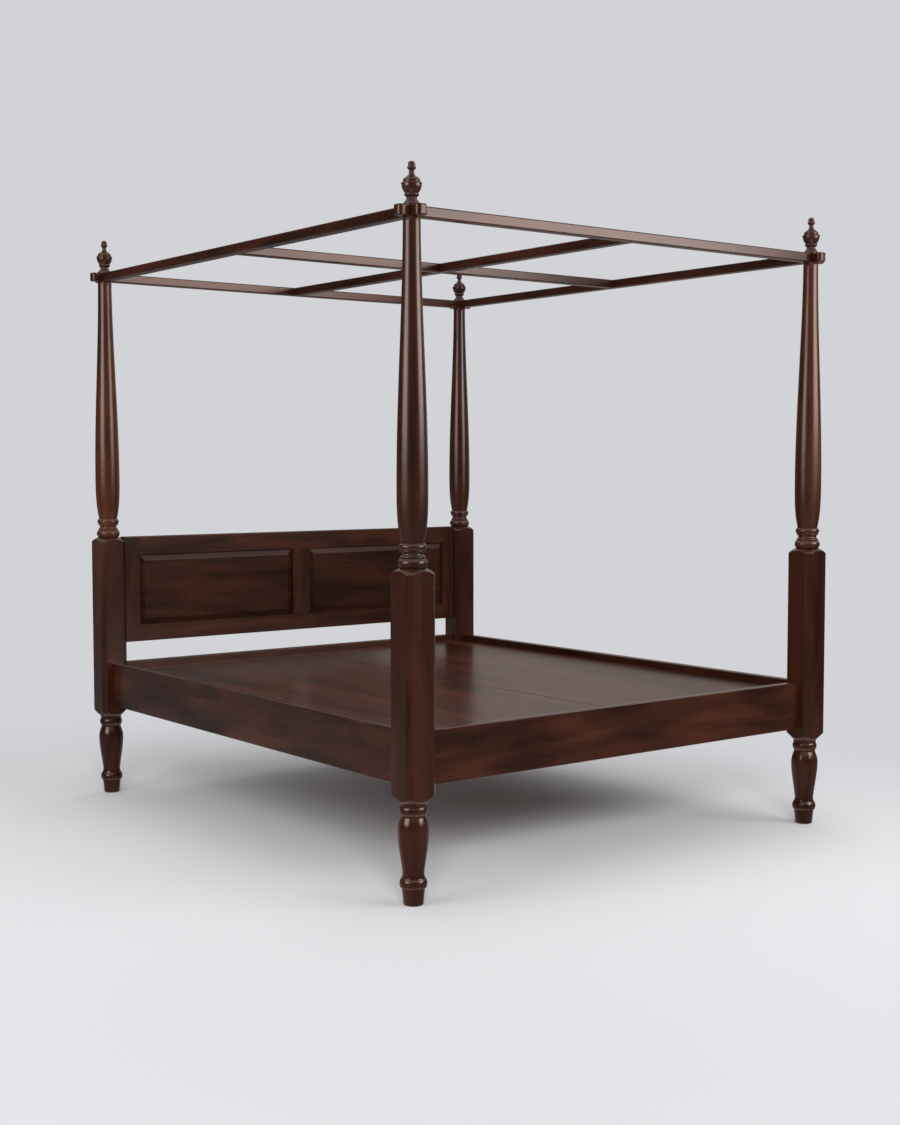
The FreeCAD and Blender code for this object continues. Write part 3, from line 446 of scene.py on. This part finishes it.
class Turning:
    """Outline of a turned piece as radius and height, drawn from the bottom up."""

    def __init__(self, radius, height):
        self.points = [Vector((radius, height))]

    @classmethod
    def over_bore(cls, bottom, radius, depth):
        """Starts on the axis at the end of a bore, and comes down the bore to the bottom face."""
        return cls(0.0, bottom + depth).step(radius).run(radius, -depth)

    @property
    def height(self):
        """How high the outline has come."""
        return self.points[-1].y

    def run(self, radius, rise):
        """Straight line, vertical or tapering."""
        self.points.append(Vector((radius, self.height + rise)))
        return self

    def step(self, radius):
        """Flat shoulder to another radius."""
        return self.run(radius, 0.0)

    def bore_down(self, radius, depth):
        """Top face and a bore in it, down to the axis."""
        return self.step(radius).run(radius, -depth).step(0.0)

    def arc(self, middle, radius, rise, steps=10):
        """Round bead or cove through a radius at half its height."""
        first = self.points[-1]
        half = Vector((middle, first.y + rise / 2))
        last = Vector((radius, first.y + rise))
        centre = circle_centre(first, half, last)
        turns = [atan2(p.y - centre.y, p.x - centre.x) for p in (first, half, last)]
        sweep = wrapped(turns[1] - turns[0]) + wrapped(turns[2] - turns[1])
        reach = (first - centre).length
        for number in range(1, steps):
            turn = turns[0] + sweep * number / steps
            self.points.append(centre + reach * Vector((cos(turn), sin(turn))))
        self.points.append(last)
        return self

    def swell(self, radius, rise, leaving=0.0, arriving=0.0, steps=12):
        """Long curve. leaving and arriving say how much of the change its end tangents take."""
        first = self.points[-1]
        change = radius - first.x
        poles = (
            first,
            Vector((first.x + leaving * change, first.y + rise / 3)),
            Vector((radius - arriving * change, first.y + rise * 2 / 3)),
            Vector((radius, first.y + rise)),
        )
        self.points += interpolate_bezier(*poles, steps + 1)[1:]
        return self

    def dome(self, bulge, rise, steps=10):
        """Rounded end that closes on the axis."""
        first = self.points[-1]
        poles = (
            first,
            Vector((bulge, first.y + rise / 2)),
            Vector((first.x, first.y + rise)),
            Vector((0.0, first.y + rise)),
        )
        self.points += interpolate_bezier(*poles, steps + 1)[1:]
        return self

    def eased(self):
        """The outline with every sharp corner off the axis rounded a little."""
        result = self.points[:1]
        for before, corner, after in zip(self.points, self.points[1:], self.points[2:]):
            back, on = before - corner, after - corner
            if back.angle(on) > radians(FLAT_CORNER):
                result.append(corner)
                continue
            reach = min(TURNED_EASE, EASE_SHARE * back.length, EASE_SHARE * on.length)
            first = corner + back.normalized() * reach
            last = corner + on.normalized() * reach
            result += [first, (first + 2 * corner + last) / 4, last]
        return result + self.points[-1:]


def level(point):
    """Height of a point in millimetres, to a hundredth."""
    return round(point.z / MM, 2)


def wrapped(turn):
    """The same turn, as the shortest way round."""
    return (turn + pi) % (2 * pi) - pi


def circle_centre(a, b, c):
    """Centre of the circle through three points."""
    spread_out = 2 * (a.x * (b.y - c.y) + b.x * (c.y - a.y) + c.x * (a.y - b.y))
    squares = [p.length_squared for p in (a, b, c)]
    x = squares[0] * (b.y - c.y) + squares[1] * (c.y - a.y) + squares[2] * (a.y - b.y)
    y = squares[0] * (c.x - b.x) + squares[1] * (a.x - c.x) + squares[2] * (b.x - a.x)
    return Vector((x, y)) / spread_out


def turned(outline, axis, steps):
    """Spins an outline about a post's axis."""
    mesh = bmesh.new()
    line = [mesh.verts.new((axis.x + p.x * MM, axis.y, p.y * MM)) for p in outline]
    edges = [mesh.edges.new(pair) for pair in zip(line, line[1:])]
    bmesh.ops.spin(
        mesh, geom=line + edges, cent=(axis.x, axis.y, 0.0), axis=(0.0, 0.0, 1.0),
        angle=2 * pi, steps=steps, use_merge=True,
    )
    bmesh.ops.remove_doubles(mesh, verts=mesh.verts, dist=SAME_POINT)
    bmesh.ops.recalc_face_normals(mesh, faces=mesh.faces)
    return mesh


def boxed(low, high):
    """A block between two corners."""
    mesh = bmesh.new()
    middle, size = (low + high) / 2, high - low
    bmesh.ops.create_cube(mesh, size=1.0, matrix=Matrix.LocRotScale(middle, None, size))
    return mesh


def draw_out(mesh, face, shift):
    """Extrudes a face."""
    grown = bmesh.ops.extrude_face_region(mesh, geom=[face])["geom"]
    moved = [g for g in grown if isinstance(g, bmesh.types.BMVert)]
    bmesh.ops.translate(mesh, verts=moved, vec=shift)
    bmesh.ops.recalc_face_normals(mesh, faces=mesh.faces)


def saw(mesh, point, away, drop_waste=False):
    """Cuts a mesh on a plane, drops what lies beyond it where asked, and gives the cut's edges."""
    cut = bmesh.ops.bisect_plane(
        mesh, geom=mesh.verts[:] + mesh.edges[:] + mesh.faces[:], dist=CUT_PLANE,
        plane_co=point, plane_no=away, clear_outer=drop_waste,
    )
    return [g for g in cut["geom_cut"] if isinstance(g, bmesh.types.BMEdge)]


def plane_flat(mesh, axis, turn, reach):
    """Planes one flat of a post's square block and closes the cut."""
    away = Vector((cos(turn), sin(turn), 0.0))
    rim = saw(mesh, axis + away * reach * MM, away, drop_waste=True)
    bmesh.ops.edgeloop_fill(mesh, edges=rim)


def ease_edges(mesh, edges, width, steps=2):
    """Rounds edges a little."""
    bmesh.ops.bevel(
        mesh, geom=edges, offset=width * MM, offset_type="OFFSET", segments=steps, profile=0.5,
        affect="EDGES", clamp_overlap=False, material=-1,
    )


def object_of(name, mesh, material):
    """Makes the object of a mesh."""
    data = bpy.data.meshes.new(name)
    mesh.to_mesh(data)
    mesh.free()
    data.materials.append(material)
    made = bpy.data.objects.new(name, data)
    scene.collection.objects.link(made)
    return made


def shaped(name, mesh, material, node, crisp=TURNED_CRISP, flats=False):
    """Makes a piece, which stands for a CAD node and rides on that node's body.

    Edges that turn by more than crisp degrees stay sharp. flats says that the piece has planed faces,
    whose shading their eased edges then leave flat."""
    for face in mesh.faces:
        face.smooth = True
    piece = object_of(name, mesh, material)
    piece.data.set_sharp_from_angle(angle=radians(crisp))
    if flats:
        piece.modifiers.new("flat_faces_first", "WEIGHTED_NORMAL").keep_sharp = True
    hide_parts(node)
    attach(piece, nodes[node]["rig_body"])


def post_base(corner, axis):
    """Turned foot and chamfered block, with the block's stops turned at both ends."""
    node = "lower_post_" + corner
    top = level(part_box(node)[1])
    outline = Turning(0.0, 0.0)
    outline.step(28.5).run(31.5, 3.0).run(37.0, 53.0)  # sole and flaring toe
    outline.step(41.0).arc(44.0, 37.5, 30.0)  # bead over the toe
    outline.swell(34.5, 16.0, leaving=0.6, steps=8)  # ankle
    outline.swell(49.8, 136.0, leaving=0.3, steps=20)  # vase, up to its widest
    outline.swell(38.7, 43.0, arriving=0.55)  # vase, in to its neck
    outline.step(40.5).run(40.5, 6.0)  # fillet
    outline.arc(45.5, 42.0, 27.0)  # bead under the block
    outline.step(40.0).run(40.0, 2.0).step(42.0).run(42.0, 9.0)  # groove and collar
    outline.run(BLOCK_CORNER, BLOCK_TAPER)
    outline.run(BLOCK_CORNER, top - BLOCK_SHOULDER - outline.height)
    outline.swell(41.0, BLOCK_SHOULDER, arriving=0.6)
    outline.bore_down(*STUD_BORE)
    mesh = turned(outline.eased(), axis, POST_STEPS)
    for quarter in range(4):
        plane_flat(mesh, axis, quarter * pi / 2, BLOCK_HALF)
    for quarter in range(4):
        plane_flat(mesh, axis, quarter * pi / 2 + pi / 4, BLOCK_CHAMFER)
    bmesh.ops.remove_doubles(mesh, verts=mesh.verts, dist=PLANED_POINT)
    arrises = [e for e in mesh.edges if abs(e.verts[0].co.z - e.verts[1].co.z) > ARRIS_RISE]
    ease_edges(mesh, arrises, ARRIS_EASE)
    bmesh.ops.recalc_face_normals(mesh, faces=mesh.faces)
    shaped(
        "post_base_" + corner, mesh, post_wood, node,
        crisp=PLANED_CRISP, flats=True,
    )


def post_shaft(corner, axis):
    """Beads, ring and cove above the block, then the long swelling spindle."""
    node = "upper_post_" + corner
    low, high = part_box(node)
    bottom, top = level(low), level(high)
    outline = Turning.over_bore(bottom, *STUD_BORE)
    outline.step(41.0).arc(47.0, 41.0, 29.0, steps=16)  # large bead on the block
    outline.step(37.0).arc(40.0, 37.0, 8.0)  # ring
    outline.arc(33.8, 40.5, 14.0, steps=12)  # cove
    outline.run(40.5, 3.0)  # fillet
    outline.step(38.5).arc(44.0, 38.5, 22.0, steps=14)  # bead under the spindle
    outline.step(36.5).swell(49.5, 176.0, leaving=1.0, steps=24)  # spindle, up to its widest
    outline.swell(27.5, top - outline.height, arriving=0.05, steps=48)  # spindle, in to its top
    outline.bore_down(*PIN_BORE_IN_POST)
    mesh = turned(outline.eased(), axis, POST_STEPS)
    wood = warm_shaft_wood if corner in WARM_SHAFTS else shaft_wood
    shaped("post_shaft_" + corner, mesh, wood, node)


def post_finial(corner, axis):
    """Flared base, ring, banded cup, shoulder, stem, disc and button."""
    node = "finial_" + corner
    low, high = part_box(node)
    bottom, top = level(low), level(high)
    outline = Turning.over_bore(bottom, *PIN_BORE_IN_FINIAL)
    outline.step(27.0).run(27.0, 5.0)  # base
    outline.swell(16.0, 18.5, leaving=0.25).run(18.5, 4.0)  # flare
    outline.arc(23.0, 20.5, 10.0)  # ring
    outline.swell(31.3, 27.5, leaving=0.75)  # cup
    outline.arc(32.7, 31.3, 4.5, steps=6)  # the cup's rim
    outline.step(25.5).arc(26.7, 25.5, 11.0, steps=6)  # band
    outline.swell(9.3, 16.0, leaving=0.4)  # shoulder
    outline.arc(7.9, 9.3, 12.0)  # stem
    outline.arc(13.8, 10.3, 12.0)  # disc
    outline.dome(13.4, 14.5)  # button
    outline.points[-1].y = top
    mesh = turned(outline.eased(), axis, FINIAL_STEPS)
    shaped("post_finial_" + corner, mesh, shaft_wood, node)


def raised_panel(side):
    """Raised and fielded panel: tongue all round, low shoulder, four bevels and a flat field."""
    node = "headboard_panel_" + side
    low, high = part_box(node)
    mesh = boxed(Vector((low.x, low.y + PANEL_RISE * MM, low.z)), high)
    face = min(mesh.faces, key=lambda f: f.calc_center_median().y)
    for width, rise in (
        (PANEL_TONGUE, 0.0),
        (PANEL_LEAN, PANEL_SHOULDER),
        (PANEL_BEVEL - PANEL_LEAN, PANEL_RISE - PANEL_SHOULDER),
    ):
        bmesh.ops.inset_region(
            mesh, faces=[face], use_even_offset=True, thickness=width * MM, depth=rise * MM,
        )
    field = [e for e in mesh.edges if all(abs(v.co.y - low.y) < ON_FACE for v in e.verts)]
    ease_edges(mesh, field, FIELD_EASE)
    shaped(
        "raised_panel_" + side, mesh, panel_wood, node,
        crisp=PANEL_CRISP, flats=True,
    )


def deck_board(side):
    """Half of the deck, notched round two posts.

    Its upper edges are eased apart from the seam's, and low in the seam a lip closes the gap to the
    other half."""
    node = "deck_panel_" + side
    low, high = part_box(node)
    inner, outer = sorted((low.x, high.x), key=abs)
    outwards = copysign(1.0, outer)
    notch_x = outer - outwards * DECK_NOTCH * MM
    notch_y = high.y - DECK_NOTCH * MM
    half = [(inner, high.y), (notch_x, high.y), (notch_x, notch_y), (outer, notch_y)]
    outline = half + [(x, -y) for x, y in reversed(half)]
    mesh = bmesh.new()
    underside = mesh.faces.new([mesh.verts.new((x, y, low.z)) for x, y in outline])
    draw_out(mesh, underside, (0.0, 0.0, high.z - low.z))
    upper = [e for e in mesh.edges if all(abs(v.co.z - high.z) < ON_FACE for v in e.verts)]
    outer_edges = [e for e in upper if any(abs(v.co.x - inner) > ON_FACE for v in e.verts)]
    ease_edges(mesh, outer_edges, DECK_EASE, DECK_EASE_STEPS)
    saw(mesh, (0.0, 0.0, high.z - SEAM_DEPTH * MM), (0.0, 0.0, 1.0))
    seam_faces = [f for f in mesh.faces if all(abs(v.co.x - inner) < ON_FACE for v in f.verts)]
    lip = min(seam_faces, key=lambda f: f.calc_center_median().z)
    draw_out(mesh, lip, (outwards * SEAM_CLEARANCE * MM - inner, 0.0, 0.0))
    shaped(
        "deck_board_" + side, mesh, deck_wood, node,
        crisp=PLANED_CRISP, flats=True,
    )


for corner in CORNERS:
    low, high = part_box("finial_" + corner)
    axis = Vector(((low.x + high.x) / 2, (low.y + high.y) / 2, 0.0))
    post_base(corner, axis)
    post_shaft(corner, axis)
    post_finial(corner, axis)
for side in SIDES:
    raised_panel(side)
    deck_board(side)


# Studio: a pale floor that fades into the background, soft boxes, cloths and the camera

BACKDROP = rgb(0.645, 0.652, 0.680)
FILL_STRENGTH = 0.44
FLOOR_RADIUS = 14.0
FLOOR_STEPS = 128
FLOOR_ROUGHNESS = 0.9
FLOOR_GLOSS = 0.1
# Painted light on the floor: paler at the back of the bed and dimmer further out, so that the lamps'
# uneven light on it looks even
FLOOR_PAINTED_LIGHT = rgb(0.745, 0.75, 0.77)
FLOOR_PAINTED_DIM = rgb(0.65, 0.655, 0.674)
# Point at the back, and the distances from it between which the floor's colour turns from the painted
# light at the back to the dimmer colour further out
FLOOR_BACK = (2.4, 3.2, 0.0)
FLOOR_TURN = (4.7, 7.0)
# Point at the front, and the distances from it between which the floor fades out
FLOOR_FRONT = (-1.5, -1.0, 0.0)
FLOOR_FADE = (2.4, 4.4)

# Soft boxes: place, aim, width, height and power. The floor boxes light the floor alone.
SOFT_BOXES = {
    "overhead_soft_box": ((-0.9, -1.2, 4.8), (-0.3, -0.4, 0.0), 4.0, 4.0, 10.0),
    "right_soft_box": ((2.08, -4.43, 2.48), (-0.5, -0.6, 1.6), 3.2, 1.45, 81.0),
    "left_soft_box": ((-5.4, -0.6, 2.4), (-0.6, -0.5, 1.5), 3.2, 1.6, 74.0),
}
FLOOR_BOXES = {
    "front_floor_box": ((-8.3, -12.0, 6.9), (-0.4, -0.6, 0.0), 6.0, 3.6, 1440.0),
    "high_floor_box": ((0.9, 0.9, 4.8), (0.9, 0.9, 0.0), 4.0, 4.0, 50.0),
}

# Cloths: degrees anticlockwise from the foot of the bed, heights, and the light that comes through
CLOTH_RADIUS = 9.0
CLOTH_STEPS = 48
CLOTHS = {
    "dense_cloth": ((-137.0, 20.0), (-0.7, 5.0), grey(0.0)),
    "dense_low_cloth": ((20.0, 85.0), (-0.7, 3.4), grey(0.0)),
    "dense_skirt": ((-137.0, 85.0), (-7.0, -0.7), grey(0.16)),
    "corner_cloth": ((185.0, 223.0), (0.9, 5.0), grey(0.05)),
    "low_cloth": ((85.0, 223.0), (-0.9, 0.9), grey(0.18)),
    "low_skirt": ((85.0, 223.0), (-7.0, -0.9), grey(0.42)),
    "sheer_cloth": ((85.0, 147.0), (0.9, 5.0), rgb(0.62, 0.56, 0.50)),
    "medium_cloth": ((147.0, 185.0), (0.9, 5.0), rgb(0.215, 0.20, 0.185)),
}

LENS_MM = 50.53
SENSOR_MM = 36.0
CAMERA_PLACE = (-3.8033, -5.0424, 1.3834)
CAMERA_TURNS = (86.417, 0.064, -37.345)


def studio_floor():
    """Pale floor that keeps the bed's shadow, with painted light: paler at the back, where less lamp
    light reaches, and dimmer further out, where the front floor box lights it strongly.
    """
    material, tree, shader = new_material("pale_floor")
    shader.inputs["Roughness"].default_value = FLOOR_ROUGHNESS
    shader.inputs["Specular IOR Level"].default_value = FLOOR_GLOSS
    place = surface(tree, "Object")
    from_back = maths(tree, "DISTANCE", place, FLOOR_BACK, kind=VECTORS)
    # painted_dimming is the share of the dimmer colour, growing with distance from the back
    painted_dimming = spread(tree, from_back, *FLOOR_TURN)
    tree.links.new(mixed(tree, painted_dimming, FLOOR_PAINTED_LIGHT, FLOOR_PAINTED_DIM), shader.inputs["Base Color"])
    from_front = maths(tree, "DISTANCE", place, FLOOR_FRONT, kind=VECTORS)
    tree.links.new(spread(tree, from_front, *FLOOR_FADE, 1.0, 0.0), shader.inputs["Alpha"])
    mesh = bmesh.new()
    bmesh.ops.create_circle(mesh, cap_ends=True, segments=FLOOR_STEPS, radius=FLOOR_RADIUS)
    floor = object_of("studio_floor", mesh, material)
    floor.visible_glossy = False
    return floor


def studio_background():
    """Pale to the camera and to reflections, and only a dim fill for the light on the bed."""
    world = bpy.data.worlds.new("studio")
    scene.world = world
    world.use_nodes = True
    tree = world.node_tree
    tree.nodes.clear()
    rays = tree.nodes.new("ShaderNodeLightPath").outputs
    seen = maths(tree, "MAXIMUM", rays["Is Camera Ray"], rays["Is Glossy Ray"])
    seen = maths(tree, "MAXIMUM", seen, rays["Is Transmission Ray"])
    fill = add_node(tree, "ShaderNodeBackground", Color=grey(1.0), Strength=FILL_STRENGTH)
    pale = add_node(tree, "ShaderNodeBackground", Color=BACKDROP, Strength=1.0)
    choice = tree.nodes.new("ShaderNodeMixShader")
    for socket, output in zip(choice.inputs, (seen, fill.outputs[0], pale.outputs[0])):
        tree.links.new(output, socket)
    out = tree.nodes.new("ShaderNodeOutputWorld")
    tree.links.new(choice.outputs[0], out.inputs["Surface"])


def soft_box(name, place, aim, width, height, power):
    """A soft box that the camera doesn't see."""
    lamp = bpy.data.lights.new(name, "AREA")
    lamp.shape = "RECTANGLE"
    lamp.size = width
    lamp.size_y = height
    lamp.energy = power
    box = bpy.data.objects.new(name, lamp)
    box.location = place
    box.visible_camera = False
    box.rotation_euler = (Vector(aim) - Vector(place)).to_track_quat("-Z", "Y").to_euler()
    scene.collection.objects.link(box)
    return box


def hung_cloth(name, sweep, heights, passes):
    """Dark cloth hung round the studio, so that polished faces reflect less glare.

    Only reflections see it. passes says how much red, green and blue light comes through."""
    material, tree, shader = new_material(name)
    tree.nodes.remove(shader)
    veil = add_node(tree, "ShaderNodeBsdfTransparent", Color=passes)
    tree.links.new(veil.outputs["BSDF"], tree.nodes["Material Output"].inputs["Surface"])
    mesh = bmesh.new()
    first, last = sweep
    foot, head = [mesh.verts.new((0.0, -CLOTH_RADIUS, height)) for height in heights]
    edge = mesh.edges.new((foot, head))
    middle = (0.0, 0.0, 0.0)
    start = Matrix.Rotation(radians(first), 3, "Z")
    bmesh.ops.rotate(mesh, verts=[foot, head], cent=middle, matrix=start)
    bmesh.ops.spin(
        mesh, geom=[foot, head, edge], cent=middle, axis=(0.0, 0.0, 1.0),
        angle=radians(last - first), steps=CLOTH_STEPS,
    )
    cloth = object_of(name, mesh, material)
    cloth.visible_camera = False
    cloth.visible_diffuse = False
    cloth.visible_shadow = False


def studio_camera():
    """Camera at the photo's place, with its angle of view."""
    lens = bpy.data.cameras.new("studio_camera")
    lens.lens = LENS_MM
    lens.sensor_width = SENSOR_MM
    camera = bpy.data.objects.new("studio_camera", lens)
    camera.location = CAMERA_PLACE
    camera.rotation_euler = [radians(turn) for turn in CAMERA_TURNS]
    scene.collection.objects.link(camera)
    scene.camera = camera


floor = studio_floor()
studio_background()
floor_alone = bpy.data.collections.new("floor_alone")
floor_alone.objects.link(floor)
for name, values in SOFT_BOXES.items():
    soft_box(name, *values)
for name, values in FLOOR_BOXES.items():
    soft_box(name, *values).light_linking.receiver_collection = floor_alone
for name, values in CLOTHS.items():
    hung_cloth(name, *values)
studio_camera()

scene.view_settings.view_transform = "Standard"
